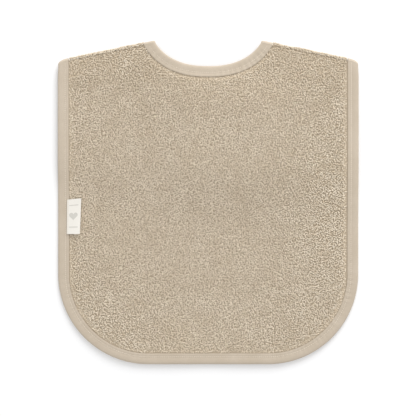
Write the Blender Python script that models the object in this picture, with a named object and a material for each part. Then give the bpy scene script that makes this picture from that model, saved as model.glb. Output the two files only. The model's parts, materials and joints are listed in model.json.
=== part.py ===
"""Terry-towelling baby bib, lying face up with both shoulder straps folded behind it.

Metres, +Z up, neck towards +Y. The origin is under the middle of the folded bib, on the
surface that it lies on. The straps overlap behind the neck, where a hook patch on the end of
the left strap holds a loop patch on the end of the right one.

Every ply is drawn flat, cut along the shoulder folds, thickened, and then lifted over the
layers that lie below it. A layer height is measured from the back of the cloth, so it is
turned over on the straps, which lie face down.
"""

import math

import bmesh
import bpy
from mathutils import Matrix, Vector
from mathutils.geometry import delaunay_2d_cdt, interpolate_bezier

# Outline of the folded bib
BIB_WIDTH = 0.290
BIB_LENGTH = 0.3098                     # hem to the neck points, on the shoulder fold axes
CORNER_RADIUS = 0.087
SHOULDER_SLOPE = math.radians(11.6)
NECK_WIDTH = 0.1016                     # between the two neck points
NECK_DEPTH = 0.0222                     # from the neck points down to the front neckline
NECK_SPREAD = 1.144                     # full width of the neckline's curve over NECK_WIDTH
NECK_FULLNESS = 2.3                     # exponent of that curve; 2 is an ellipse

# Straps, as they lie folded behind the front
STRAP_END_WIDTH = 0.045
STRAP_BEND_RADIUS = 0.075
STRAP_END_ROUND = 0.020
STRAP_OVERLAP = 0.050                   # how far the left strap passes the middle
TAB_HINGE_X = -0.003                    # where the end of the left strap starts to peel

# Cloth and trims
TAPE_WIDTH = 0.0106                     # bias tape, folded over the edge
TAPE_THICKNESS = 0.0004
BACKING_THICKNESS = 0.0004
TERRY_BASE_THICKNESS = 0.00065          # pressed flat inside the tape
PLY_GAP = 0.00025
LAYER_GAP = 0.0003
FOLD_GAP = 0.00025                      # each panel stops this far from a fold axis
PRESSED_BAND = 0.0125                   # width of cloth that the tape presses flat
PRESSED_SLOPE = 0.003
THREAD_WIDTH = 0.0004
THREAD_HEIGHT = 0.00025
OUTER_STITCH_INSET = 0.0075
NECK_STITCH_INSET = 0.0045

# Hook and loop patches
PATCH_THICKNESS = 0.0005
PATCH_HEIGHT = 0.022
HOOK_PATCH_WIDTH = 0.026
LOOP_PATCH_WIDTH = 0.034
PATCH_START_X = 0.011
PATCH_CORNER = 0.002

# Woven label, sewn on beside the tape on the wearer's right
LABEL_WIDTH = 0.0135
LABEL_LENGTH = 0.034
LABEL_THICKNESS = 0.0006
LABEL_INSET = 0.0086                    # sewn edge, in from the side of the bib
LABEL_DROP = 0.019                      # middle, below where the front starts to rise

# How the cloth runs down off the layers under it
DRAPE_RUN = 0.040
DRAPE_CLEARANCE = 0.003
GRID_STEP = 0.008

# Heights of the plies above the back of the cloth, where the tape presses them
BACKING_LOW = TAPE_THICKNESS + PLY_GAP
BACKING_HIGH = BACKING_LOW + BACKING_THICKNESS
TERRY_LOW = BACKING_HIGH + PLY_GAP
TERRY_HIGH = TERRY_LOW + TERRY_BASE_THICKNESS
CLOTH_THICKNESS = TERRY_HIGH + PLY_GAP + TAPE_THICKNESS
CLOTH_INSET = TAPE_THICKNESS + PLY_GAP

# Heights of the layers in the pile
FOLD_LIFT = CLOTH_THICKNESS + LAYER_GAP
CLOSURE_LIFT = CLOTH_THICKNESS + 2 * PATCH_THICKNESS + 3 * LAYER_GAP
FOLD_AXIS_Z = CLOTH_THICKNESS + LAYER_GAP / 2

# Places that follow from the sizes
HEM_Y = -BIB_LENGTH / 2
NECK_POINT = Vector((NECK_WIDTH / 2, BIB_LENGTH / 2))
NECK_HALF = NECK_SPREAD * NECK_WIDTH / 2
NECK_CURVE_DEPTH = NECK_DEPTH / (1 - (1 - NECK_SPREAD ** -NECK_FULLNESS) ** (1 / NECK_FULLNESS))
NECKLINE_Y = NECK_POINT.y - NECK_DEPTH


def neck_slope():
    """Angle of the front neckline where it meets the shoulder fold."""
    share = 1 / NECK_SPREAD
    rise = (share ** (NECK_FULLNESS - 1)
            * (1 - share ** NECK_FULLNESS) ** (1 / NECK_FULLNESS - 1))
    return math.atan(rise * NECK_CURVE_DEPTH / NECK_HALF)


# The neck edge runs on smoothly round the fold, so the fold mirrors its angle on the strap.
BACK_NECK_ENTRY = neck_slope() + 2 * SHOULDER_SLOPE - math.pi / 2
BACK_NECK_RADIUS = NECK_POINT.x / math.cos(BACK_NECK_ENTRY)
BACK_NECK_CENTRE_Y = NECK_POINT.y + BACK_NECK_RADIUS * math.sin(BACK_NECK_ENTRY)
BACK_NECK_Y = BACK_NECK_CENTRE_Y - BACK_NECK_RADIUS
STRAP_LOW_Y = BACK_NECK_Y - STRAP_END_WIDTH
CLOSURE_Y = (BACK_NECK_Y + STRAP_LOW_Y) / 2
DRAPE_START_Y = STRAP_LOW_Y - DRAPE_CLEARANCE - DRAPE_RUN
DRAPE_END_Y = BACK_NECK_Y + DRAPE_CLEARANCE + DRAPE_RUN
SHOULDER_Y = NECK_POINT.y - (BIB_WIDTH - NECK_WIDTH) / 2 * math.tan(SHOULDER_SLOPE)
LABEL_X = LABEL_INSET - BIB_WIDTH / 2
LABEL_Y = DRAPE_START_Y - LABEL_DROP
LIFT_LEFT_X = TAB_HINGE_X
LIFT_RIGHT_X = STRAP_OVERLAP + DRAPE_CLEARANCE

MATERIAL_COLOURS = {
    "terry": (0.53, 0.44, 0.32, 1.0),
    "backing": (0.60, 0.52, 0.40, 1.0),
    "tape": (0.59, 0.49, 0.36, 1.0),
    "thread": (0.66, 0.57, 0.44, 1.0),
    "label": (0.84, 0.83, 0.79, 1.0),
    "fastener": (0.80, 0.77, 0.70, 1.0),
}


def clear_scene():
    for old in list(bpy.data.objects):
        bpy.data.objects.remove(old, do_unlink=True)


def material(name, colour, roughness):
    mat = bpy.data.materials.new(name)
    mat.use_nodes = True
    shader = mat.node_tree.nodes["Principled BSDF"]
    shader.inputs["Base Color"].default_value = colour
    shader.inputs["Roughness"].default_value = roughness
    shader.inputs["Metallic"].default_value = 0.0
    return mat


def ramp(value, start, end):
    """0 before start, 1 after end, and a smooth S between them."""
    share = min(max((value - start) / (end - start), 0.0), 1.0)
    return share * share * (3 - 2 * share)


def closure_lift(x, y):
    """Rise of whatever lies over the overlapped strap ends."""
    across = ramp(x, LIFT_LEFT_X - DRAPE_RUN, LIFT_LEFT_X)
    across *= 1 - ramp(x, LIFT_RIGHT_X, LIFT_RIGHT_X + DRAPE_RUN)
    along = ramp(y, DRAPE_START_Y, DRAPE_START_Y + DRAPE_RUN)
    along *= 1 - ramp(y, DRAPE_END_Y - DRAPE_RUN, DRAPE_END_Y)
    return CLOSURE_LIFT * across * along


def front_lift(x, y):
    """Rise of the front panel over the folded straps."""
    return FOLD_LIFT * ramp(y, DRAPE_START_Y, DRAPE_START_Y + DRAPE_RUN) + closure_lift(x, y)


def no_lift(x, y):
    return 0.0


# ---------------------------------------------------------------- outlines
def arc(centre, radius, start, end, steps=16):
    turn = (end - start) / steps
    return [
        centre + radius * Vector((math.cos(start + turn * i), math.sin(start + turn * i)))
        for i in range(steps + 1)
    ]


def shift(path, distance):
    """The path moved to its left-hand side, which is where the cloth lies."""
    moved = []
    for i, point in enumerate(path):
        before = (point - path[i - 1]).normalized() if i else None
        after = (path[i + 1] - point).normalized() if i < len(path) - 1 else None
        before = before or after
        after = after or before
        mean = (before + after).normalized()
        side = Vector((-mean.y, mean.x))
        moved.append(point + side * distance / max(mean.dot(after), 0.5))
    return moved


def outer_path():
    """Sides and hem, from above the left fold round to above the right one."""
    half = BIB_WIDTH / 2
    top = NECK_POINT.y
    low_left = Vector((CORNER_RADIUS - half, HEM_Y + CORNER_RADIUS))
    low_right = Vector((half - CORNER_RADIUS, HEM_Y + CORNER_RADIUS))
    path = [Vector((-half, top))]
    path += arc(low_left, CORNER_RADIUS, math.pi, 1.5 * math.pi)
    path += arc(low_right, CORNER_RADIUS, 1.5 * math.pi, 2 * math.pi)
    path.append(Vector((half, top)))
    return path


def neck_path(steps=36, overrun=0.86):
    """Front neckline from right to left, running on past both folds."""
    power = 2 / NECK_FULLNESS
    path = []
    for i in range(steps + 1):
        turn = (i / steps * 2 - 1) * overrun * math.pi / 2
        across = -math.copysign(abs(math.sin(turn)) ** power, turn)
        down = abs(math.cos(turn)) ** power
        path.append(Vector((
            NECK_HALF * across,
            NECKLINE_Y + NECK_CURVE_DEPTH * (1 - down),
        )))
    return path


def curve_between(start, start_way, end, end_way, steps=10):
    """A rounded corner that leaves along start_way and arrives along end_way."""
    handle = 0.39 * (end - start).length
    points = interpolate_bezier(
        start, start + start_way * handle, end - end_way * handle, end, steps + 1
    )
    return [Vector(p[:2]) for p in points]


def strap_path(reach):
    """Edge of the left strap, from above its fold round its end and back to its neck point."""
    way = Vector((math.sin(2 * SHOULDER_SLOPE), -math.cos(2 * SHOULDER_SLOPE)))
    outer = Vector((-BIB_WIDTH / 2, SHOULDER_Y))
    bend = outer + way * (SHOULDER_Y - STRAP_LOW_Y) / -way.y
    turn = math.pi / 2 - 2 * SHOULDER_SLOPE
    tangent = STRAP_BEND_RADIUS * math.tan(turn / 2)
    centre = Vector((bend.x + tangent, STRAP_LOW_Y + STRAP_BEND_RADIUS))
    path = [outer - way * TAPE_WIDTH]
    path += arc(centre, STRAP_BEND_RADIUS, 1.5 * math.pi - turn, 1.5 * math.pi, 12)

    right, up = Vector((1, 0)), Vector((0, 1))
    end = Vector((reach, CLOSURE_Y))
    path += curve_between(Vector((reach - STRAP_END_ROUND, STRAP_LOW_Y)), right, end, up)
    neck = Vector((0, BACK_NECK_CENTRE_Y))
    past = max(STRAP_END_ROUND - reach, 0.0)
    angle = math.asin(past / BACK_NECK_RADIUS)
    leave = neck + BACK_NECK_RADIUS * Vector((-math.sin(angle), -math.cos(angle)))
    leave.x += max(reach - STRAP_END_ROUND, 0.0)
    path += curve_between(end, up, leave, Vector((-math.cos(angle), math.sin(angle))))[1:]
    stop = -math.pi - 2.5 * SHOULDER_SLOPE
    around = arc(neck, BACK_NECK_RADIUS, -math.pi / 2 - angle, stop, 24)
    return path + (around if reach > STRAP_END_ROUND else around[1:])


def mirrored(path):
    """The same edge on the other side, still with the cloth on its left."""
    return [Vector((-p.x, p.y)) for p in reversed(path)]


# ---------------------------------------------------------------- cloth modelling
def fold_plane(side):
    """A point on the shoulder fold, kept back from its axis, and the way out over it."""
    out = Vector((side * math.sin(SHOULDER_SLOPE), math.cos(SHOULDER_SLOPE), 0))
    return Vector((side * NECK_POINT.x, NECK_POINT.y, 0)) - out * FOLD_GAP, out


LEFT_FOLD = fold_plane(-1)
RIGHT_FOLD = fold_plane(1)
TAB_SIDE = (Vector((TAB_HINGE_X + FOLD_GAP, 0, 0)), Vector((-1, 0, 0)))
STRAP_SIDE = (Vector((TAB_HINGE_X - FOLD_GAP, 0, 0)), Vector((1, 0, 0)))


def trim(bm, planes):
    """Cut the cloth off outside each plane."""
    for point, out in planes:
        everything = bm.verts[:] + bm.edges[:] + bm.faces[:]
        bmesh.ops.bisect_plane(
            bm, geom=everything, dist=1e-6, plane_co=point, plane_no=out, clear_outer=True
        )


def cut_grid(bm):
    """Cross the draped area with cuts, so that it can bend."""
    spans = (
        (Vector((1, 0, 0)), LIFT_LEFT_X - DRAPE_RUN, LIFT_RIGHT_X + DRAPE_RUN),
        (Vector((0, 1, 0)), DRAPE_START_Y, DRAPE_END_Y),
    )
    for way, start, end in spans:
        count = math.ceil((end - start) / GRID_STEP)
        for i in range(count + 1):
            place = way * (start + (end - start) * i / count)
            everything = bm.verts[:] + bm.edges[:] + bm.faces[:]
            bmesh.ops.bisect_plane(bm, geom=everything, dist=2e-5, plane_co=place, plane_no=way)


def finish(bm, name, lift, face_down, mat, into):
    """Turn the cloth over if it lies face down, lift it into the pile, and make the object."""
    for vert in bm.verts:
        height = CLOTH_THICKNESS - vert.co.z if face_down else vert.co.z
        vert.co.z = height + lift(vert.co.x, vert.co.y)
    bmesh.ops.recalc_face_normals(bm, faces=bm.faces[:])
    if bm.calc_volume(signed=True) < 0:
        bmesh.ops.reverse_faces(bm, faces=bm.faces[:])
    mesh = bpy.data.meshes.new(name)
    bm.to_mesh(mesh)
    bm.free()
    mesh.materials.append(mat)
    obj = bpy.data.objects.new(name, mesh)
    into.objects.link(obj)
    return obj


def clip(outline, point, out):
    """The outline without what lies outside the plane."""
    point, out = point.xy, out.xy
    kept = []
    for here, after in zip(outline, outline[1:] + outline[:1]):
        depth, depth_after = (point - here).dot(out), (point - after).dot(out)
        if depth >= 0:
            kept.append(here)
        if (depth >= 0) != (depth_after >= 0):
            kept.append(here.lerp(after, depth / (depth - depth_after)))
    return kept


def panel_loop(rims, planes, inset):
    """Outline of a panel, moved in by inset from its rims and from the planes that cut it."""
    loop = [p for rim in rims for p in shift(rim, inset)]
    for point, out in planes:
        loop = clip(loop, point - out * inset, out)
    return loop


def add_ply(name, rims, pressed, loose, planes, lift, face_down, mat, into):
    """One ply: its pressed and its loose heights, each as (low, high) above the back."""
    loops = [
        panel_loop(rims, planes, inset)
        for inset in (CLOTH_INSET, PRESSED_BAND, PRESSED_BAND + PRESSED_SLOPE)
    ]
    points = [p for loop in loops for p in loop]
    edges = []
    for loop in loops:
        first = len(edges)
        edges += [(first + i, first + (i + 1) % len(loop)) for i in range(len(loop))]
    loose_from = len(points) - len(loops[-1])
    placed, _, triangles, source, _, _ = delaunay_2d_cdt(points, edges, [], 1, 1e-7)
    is_loose = [min(origin) >= loose_from for origin in source]

    bm = bmesh.new()
    verts = [bm.verts.new((p.x, p.y, float(up))) for p, up in zip(placed, is_loose)]
    for corners in triangles:
        if not all(is_loose[i] for i in corners):
            bm.faces.new([verts[i] for i in corners])
    bm.faces.new([verts[i] for i in range(len(verts)) if is_loose[i]])
    if lift is not no_lift:
        cut_grid(bm)
    raised = bmesh.ops.extrude_face_region(bm, geom=bm.faces[:])["geom"]
    upper = {g for g in raised if isinstance(g, bmesh.types.BMVert)}
    for vert in bm.verts:
        level = 1 if vert in upper else 0
        vert.co.z = pressed[level] + (loose[level] - pressed[level]) * vert.co.z
    return finish(bm, name, lift, face_down, mat, into)


def add_tape(name, path, section, planes, lift, face_down, mat, into):
    """Tape or thread swept along an edge; the section is (inset, height) pairs."""
    bm = bmesh.new()
    rings = [
        [Vector((p.x, p.y, height)) for p in shift(path, inset)] for inset, height in section
    ]
    face = bm.faces.new([bm.verts.new(ring[0]) for ring in rings])
    for i in range(1, len(path)):
        face = bmesh.ops.extrude_discrete_faces(bm, faces=[face])["faces"][0]
        for vert, ring in zip(face.verts, rings):
            vert.co = ring[i]
    bmesh.ops.holes_fill(bm, edges=[e for e in bm.edges if e.is_boundary])
    for plane in planes:
        trim(bm, [plane])
        bmesh.ops.holes_fill(bm, edges=[e for e in bm.edges if e.is_boundary])
    if lift is not no_lift:
        cut_grid(bm)
    return finish(bm, name, lift, face_down, mat, into)


def tape_section():
    """Bias tape folded round the cloth's edge, open towards the cloth."""
    wall, top = TAPE_THICKNESS, CLOTH_THICKNESS
    return [
        (0, 0), (TAPE_WIDTH, 0), (TAPE_WIDTH, wall), (wall, wall),
        (wall, top - wall), (TAPE_WIDTH, top - wall), (TAPE_WIDTH, top), (0, top),
    ]


def thread_section(inset):
    low = CLOTH_THICKNESS + LAYER_GAP
    half = THREAD_WIDTH / 2
    return [
        (inset - half, low), (inset + half, low),
        (inset + half, low + THREAD_HEIGHT), (inset - half, low + THREAD_HEIGHT),
    ]


def add_patch(name, low_x, centre_y, size, bottom, corner, mat, into):
    """A flat patch with rounded corners, its origin on the edge at low_x."""
    width, length, thickness = size
    bm = bmesh.new()
    bmesh.ops.create_cube(bm, size=1.0, matrix=Matrix.Diagonal((width, length, thickness, 1)))
    bmesh.ops.translate(bm, verts=bm.verts, vec=(width / 2, 0, thickness / 2))
    upright = [e for e in bm.edges if abs(e.verts[0].co.z - e.verts[1].co.z) > thickness / 2]
    bmesh.ops.bevel(
        bm, geom=upright, offset=corner, segments=4, profile=0.5, affect="EDGES", material=-1
    )
    mesh = bpy.data.meshes.new(name)
    bm.to_mesh(mesh)
    bm.free()
    mesh.materials.append(mat)
    obj = bpy.data.objects.new(name, mesh)
    obj.location = (low_x, centre_y, bottom)
    into.objects.link(obj)
    return obj


def hang_on(parent, pieces):
    """Parent the pieces to their joint's empty and leave them where they are."""
    for piece in pieces:
        piece.parent = parent
        piece.matrix_parent_inverse = parent.matrix_world.inverted()


def add_axis(name, place, into):
    empty = bpy.data.objects.new(name, None)
    empty.empty_display_size = 0.02
    empty.location = place
    into.objects.link(empty)
    bpy.context.view_layer.update()
    return empty


# ---------------------------------------------------------------- the bib
def add_cloth(prefix, rims, planes, lift, face_down, mats, into):
    """The two plies of one panel, the terry face and the plain backing."""
    shrink = BACKING_LOW
    terry = add_ply(
        prefix + "_terry_face", rims, (TERRY_LOW, TERRY_HIGH),
        (TERRY_LOW - shrink, CLOTH_THICKNESS), planes, lift, face_down, mats["terry"], into,
    )
    backing = add_ply(
        prefix + "_backing", rims, (BACKING_LOW, BACKING_HIGH),
        (BACKING_LOW - shrink, BACKING_HIGH - shrink), planes, lift, face_down,
        mats["backing"], into,
    )
    return [terry, backing]


def add_front(mats, into):
    planes = [LEFT_FOLD, RIGHT_FOLD]
    add_cloth("front", [outer_path(), neck_path()], planes, front_lift, False, mats, into)
    bands = (
        ("outer_edge_binding", outer_path(), tape_section(), "tape"),
        ("neck_edge_binding", neck_path(), tape_section(), "tape"),
        ("outer_binding_stitching", outer_path(), thread_section(OUTER_STITCH_INSET), "thread"),
        ("neck_binding_stitching", neck_path(), thread_section(NECK_STITCH_INSET), "thread"),
    )
    for name, path, section, mat in bands:
        add_tape(name, path, section, planes, front_lift, False, mats[mat], into)


def add_label(mats, into):
    bottom = CLOTH_THICKNESS + 2 * LAYER_GAP + THREAD_HEIGHT
    label = add_patch(
        "side_label", LABEL_X, LABEL_Y, (LABEL_WIDTH, LABEL_LENGTH, LABEL_THICKNESS),
        bottom, LABEL_THICKNESS / 2, mats["label"], into,
    )
    axis = add_axis("label_axis", (LABEL_X, LABEL_Y, bottom + LABEL_THICKNESS / 2), into)
    hang_on(axis, [label])


def add_left_strap(mats, into):
    path = strap_path(STRAP_OVERLAP)
    split = next(i for i, p in enumerate(path) if p.x > TAB_HINGE_X + 2 * TAPE_WIDTH)
    finish_at = max(i for i, p in enumerate(path) if p.x > TAB_HINGE_X)
    outer_part = path[:split + 1]
    neck_part = path[finish_at:]
    section = tape_section()

    folded = [LEFT_FOLD, STRAP_SIDE]
    strap = add_cloth("left_strap", [path], folded, no_lift, True, mats, into)
    for name, part in (("outer", outer_part), ("neck", neck_part)):
        strap.append(add_tape(
            f"left_strap_{name}_binding", part, section, folded, no_lift, True,
            mats["tape"], into,
        ))
    fold = add_axis("left_fold_axis", (-NECK_POINT.x, NECK_POINT.y, FOLD_AXIS_Z), into)
    hang_on(fold, strap)

    tab = add_cloth("left_tab", [path], [TAB_SIDE], no_lift, True, mats, into)
    tab.append(add_tape(
        "left_tab_binding", path, section, [TAB_SIDE], no_lift, True, mats["tape"], into
    ))
    tab.append(add_patch(
        "hook_patch", PATCH_START_X, CLOSURE_Y, (HOOK_PATCH_WIDTH, PATCH_HEIGHT, PATCH_THICKNESS),
        CLOTH_THICKNESS + LAYER_GAP, PATCH_CORNER, mats["fastener"], into,
    ))
    peel = add_axis("tab_axis", (TAB_HINGE_X, CLOSURE_Y, 0), into)
    hang_on(peel, tab)


def add_right_strap(mats, into):
    path = mirrored(strap_path(0.0))
    strap = add_cloth("right_strap", [path], [RIGHT_FOLD], closure_lift, True, mats, into)
    strap.append(add_tape(
        "right_strap_binding", path, tape_section(), [RIGHT_FOLD], closure_lift, True,
        mats["tape"], into,
    ))
    strap.append(add_patch(
        "loop_patch", PATCH_START_X, CLOSURE_Y, (LOOP_PATCH_WIDTH, PATCH_HEIGHT, PATCH_THICKNESS),
        CLOSURE_LIFT - LAYER_GAP - PATCH_THICKNESS, PATCH_CORNER, mats["fastener"], into,
    ))
    fold = add_axis("right_fold_axis", (NECK_POINT.x, NECK_POINT.y, FOLD_AXIS_Z), into)
    hang_on(fold, strap)


def main():
    clear_scene()
    into = bpy.data.collections.new("terry_bib")
    bpy.context.scene.collection.children.link(into)
    mats = {name: material(name, colour, 0.9) for name, colour in MATERIAL_COLOURS.items()}
    add_front(mats, into)
    add_label(mats, into)
    add_left_strap(mats, into)
    add_right_strap(mats, into)


main()
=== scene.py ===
import json
import math
import random

import bmesh
import bpy
from mathutils import Matrix, Vector, noise
from mathutils.bvhtree import BVHTree
from mathutils.geometry import interpolate_bezier


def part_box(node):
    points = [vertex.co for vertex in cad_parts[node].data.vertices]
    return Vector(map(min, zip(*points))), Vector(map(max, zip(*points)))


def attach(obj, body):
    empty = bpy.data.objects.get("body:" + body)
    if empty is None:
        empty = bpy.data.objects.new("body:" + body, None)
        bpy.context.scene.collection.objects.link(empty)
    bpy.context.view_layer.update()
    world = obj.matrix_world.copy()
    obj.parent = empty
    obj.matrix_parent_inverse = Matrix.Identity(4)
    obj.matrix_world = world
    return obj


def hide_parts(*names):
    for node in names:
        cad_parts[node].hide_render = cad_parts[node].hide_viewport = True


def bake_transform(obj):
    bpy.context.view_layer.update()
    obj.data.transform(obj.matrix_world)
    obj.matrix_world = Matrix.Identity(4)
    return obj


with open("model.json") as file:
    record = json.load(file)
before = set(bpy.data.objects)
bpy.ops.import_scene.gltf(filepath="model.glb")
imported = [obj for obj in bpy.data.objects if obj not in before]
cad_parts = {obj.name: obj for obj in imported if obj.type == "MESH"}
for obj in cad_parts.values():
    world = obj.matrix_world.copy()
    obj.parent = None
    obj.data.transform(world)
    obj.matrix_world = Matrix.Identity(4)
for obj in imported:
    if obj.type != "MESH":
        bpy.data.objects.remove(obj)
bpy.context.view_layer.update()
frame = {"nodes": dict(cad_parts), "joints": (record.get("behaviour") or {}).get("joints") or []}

# ---------------------------------------------------------------- camera
# The bib is seen from straight above, a little under a metre away, so its edges
# show no perspective.
VIEW_WIDTH = 0.4027
LENS = 85.0
SENSOR = 36.0
camera_data = bpy.data.cameras.new("camera")
camera_data.lens = LENS
camera_data.sensor_width = SENSOR
camera = bpy.data.objects.new("camera", camera_data)
camera.location = (-0.0002, -0.0041, VIEW_WIDTH * LENS / SENSOR)
bpy.context.scene.collection.objects.link(camera)
bpy.context.scene.camera = camera

# ---------------------------------------------------------------- cloth and lining
# The front and the two straps are one piece of cotton towelling with a knitted ground, backed
# by a plain knit of the same yarn. The straps lie folded behind the front along two slanting
# shoulder folds, and the front runs down off them on to the table.
CORNER_RADIUS = 0.087
STRAP_BEND_RADIUS = 0.075
STRAP_END_ROUND = 0.020
NECK_FULLNESS = 2.3
NECK_SPREAD = 1.144
TAPE_WIDTH = 0.0106
DRAPE_RUN = 0.040
SOFT_RUN = 0.075
STIFF_BESIDE_LABEL = (-0.118, -0.075)
DRAPE_CLEARANCE = 0.003
HEM_CURL = 0.0010
FOLD_GAP = 0.00006
PEEL_GAP = 0.0001
TUCK = 0.0024
TUCK_WIDTH = 0.008
TUCK_DEPTH = 0.014

left_fold, right_fold = (
    next(j for j in frame["joints"] if j["name"] == name)
    for name in ("left_shoulder_fold", "right_shoulder_fold")
)
fold_axis = Vector(left_fold["axis"]).normalized()
slope = math.atan2(fold_axis.y, fold_axis.x)
neck_point = Vector(right_fold["pos_m"])
fold_z = neck_point.z
tape_low, tape_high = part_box("outer_edge_binding")
tab_low, tab_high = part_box("left_tab_binding")
half_width = tape_high.x
hem_y = tape_low.y
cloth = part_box("left_strap_outer_binding")[1].z
front_rise = 2 * fold_z - cloth
closure_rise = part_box("right_strap_binding")[1].z - cloth
neckline_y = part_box("neck_edge_binding")[0].y + TAPE_WIDTH
strap_y = tab_low.y
overlap_x = tab_high.x
peel_x = next(j for j in frame["joints"] if j["name"] == "closure_peel")["pos_m"][0]

neck_half = NECK_SPREAD * neck_point.x
neck_depth = neck_point.y - neckline_y
neck_curve = neck_depth / (1 - (1 - NECK_SPREAD ** -NECK_FULLNESS) ** (1 / NECK_FULLNESS))
share = 1 / NECK_SPREAD
neck_rise = share ** (NECK_FULLNESS - 1) * (1 - share ** NECK_FULLNESS) ** (1 / NECK_FULLNESS - 1)
back_entry = math.atan(neck_rise * neck_curve / neck_half) + 2 * slope - math.pi / 2
back_radius = neck_point.x / math.cos(back_entry)
back_centre_y = neck_point.y + back_radius * math.sin(back_entry)
back_neck_y = back_centre_y - back_radius


def ramp(value, start, end):
    """Share of the way from start to end, eased in and out."""
    part = min(max((value - start) / (end - start), 0.0), 1.0)
    return part * part * (3 - 2 * part)


def lift_of_closure(x, y, run=DRAPE_RUN):
    """Rise over the overlapped strap ends, with slopes of the given run."""
    drape_y = strap_y - DRAPE_CLEARANCE - run
    end_y = back_neck_y + DRAPE_CLEARANCE + DRAPE_RUN
    right_x = overlap_x + DRAPE_CLEARANCE
    across = ramp(x, peel_x - run, peel_x) * (1 - ramp(x, right_x, right_x + run))
    along = ramp(y, drape_y, drape_y + run) * (1 - ramp(y, end_y - DRAPE_RUN, end_y))
    return closure_rise * across * along


def lift_over_straps(x, y, run=DRAPE_RUN):
    """Rise of the front over both straps and their closure."""
    drape_y = strap_y - DRAPE_CLEARANCE - run
    return front_rise * ramp(y, drape_y, drape_y + run) + lift_of_closure(x, y, run)


def curl_of_hem(x, y):
    """The taped hem curls up a little from the table, and not evenly."""
    wave = 1 + 0.5 * noise.noise(Vector((x * 22, y * 22, 2)))
    return HEM_CURL * wave * ramp(-y, 0.085, -hem_y) ** 1.5


def lift_of_front(x, y):
    """Rise of the front, which slopes down more softly away from the stiff sewn label."""
    run = DRAPE_RUN + (SOFT_RUN - DRAPE_RUN) * ramp(x, *STIFF_BESIDE_LABEL)
    return lift_over_straps(x, y, run) + curl_of_hem(x, y)


def lift_of_table(x, y):
    """Straps that lie straight on the table don't rise."""
    return 0.0


def arc(centre, radius, start, end, step=0.0015):
    """Points along an arc."""
    steps = max(4, math.ceil(abs(end - start) * radius / step))
    return [
        centre + radius * Vector((math.cos(turn), math.sin(turn)))
        for turn in (start + (end - start) * i / steps for i in range(steps + 1))
    ]


def line(start, end, step=0.0015):
    """Points along a straight run."""
    steps = max(1, math.ceil((end - start).length / step))
    return [start.lerp(end, i / steps) for i in range(steps + 1)]


def joined(*runs):
    """One path out of several runs, without doubled points."""
    path = []
    for run in runs:
        path += [p for p in run if not path or (p - path[-1]).length > 1e-5]
    return path


def shift(path, distance):
    """The path moved towards the cloth, which lies on its left."""
    moved = []
    for i, point in enumerate(path):
        before = (point - path[i - 1]) if i else path[1] - path[0]
        after = (path[i + 1] - point) if i < len(path) - 1 else before
        mean = (before.normalized() + after.normalized()).normalized()
        moved.append(point + Vector((-mean.y, mean.x)) * distance)
    return moved


def outer_path():
    """Edge of the front, from the left shoulder round the hem to the right one."""
    top = neck_point.y
    low_left = Vector((CORNER_RADIUS - half_width, hem_y + CORNER_RADIUS))
    low_right = Vector((half_width - CORNER_RADIUS, hem_y + CORNER_RADIUS))
    return joined(
        line(Vector((-half_width, top)), Vector((-half_width, low_left.y))),
        arc(low_left, CORNER_RADIUS, math.pi, 1.5 * math.pi),
        line(Vector((low_left.x, hem_y)), Vector((low_right.x, hem_y))),
        arc(low_right, CORNER_RADIUS, 1.5 * math.pi, 2 * math.pi),
        line(Vector((half_width, low_right.y)), Vector((half_width, top))),
    )


def neck_path(steps=140, overrun=0.86):
    """Edge of the front neckline, from right to left."""
    power = 2 / NECK_FULLNESS
    path = []
    for i in range(steps + 1):
        turn = (i / steps * 2 - 1) * overrun * math.pi / 2
        across = -math.copysign(abs(math.sin(turn)) ** power, turn)
        down = abs(math.cos(turn)) ** power
        path.append(Vector((neck_half * across, neckline_y + neck_curve * (1 - down))))
    return path


def corner(start, start_way, end, end_way):
    """A quarter turn between two points and their ways."""
    handle = 0.39 * (end - start).length
    points = interpolate_bezier(
        start, start + start_way * handle, end - end_way * handle, end, 22
    )
    return [Vector(p[:2]) for p in points]


def strap_path(reach):
    """Edge of the left strap, from its fold round its end and back to the neck point."""
    way = Vector((math.sin(2 * slope), -math.cos(2 * slope)))
    corner_y = neck_point.y - (half_width - neck_point.x) * math.tan(slope)
    outer = Vector((-half_width, corner_y))
    bend = outer + way * (corner_y - strap_y) / -way.y
    turn = math.pi / 2 - 2 * slope
    centre = bend + Vector((STRAP_BEND_RADIUS * math.tan(turn / 2), STRAP_BEND_RADIUS))
    bent = arc(centre, STRAP_BEND_RADIUS, 1.5 * math.pi - turn, 1.5 * math.pi)
    right, up = Vector((1, 0)), Vector((0, 1))
    low = Vector((reach - STRAP_END_ROUND, strap_y))
    end = Vector((reach, (strap_y + back_neck_y) / 2))
    angle = math.asin(max(STRAP_END_ROUND - reach, 0.0) / back_radius)
    neck = Vector((0, back_centre_y))
    leave = neck + back_radius * Vector((-math.sin(angle), -math.cos(angle)))
    leave.x += max(reach - STRAP_END_ROUND, 0.0)
    around = arc(neck, back_radius, -math.pi / 2 - angle, -math.pi - 2.5 * slope)
    return joined(
        line(outer - way * TAPE_WIDTH, bent[0]),
        bent,
        line(bent[-1], low),
        corner(low, right, end, up),
        corner(end, up, leave, Vector((-math.cos(angle), math.sin(angle)))),
        line(leave, around[0]) if reach > STRAP_END_ROUND else [],
        around,
    )


def mirrored(path):
    """The same path on the other side of the bib."""
    return [Vector((-p.x, p.y)) for p in reversed(path)]


def fold_plane(side, gap=0.0):
    """A point on a shoulder fold, or gap short of it, and the way out over the fold."""
    out = Vector((side * math.sin(slope), math.cos(slope), 0))
    return Vector((side * neck_point.x, neck_point.y, 0)) - out * gap, out


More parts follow.
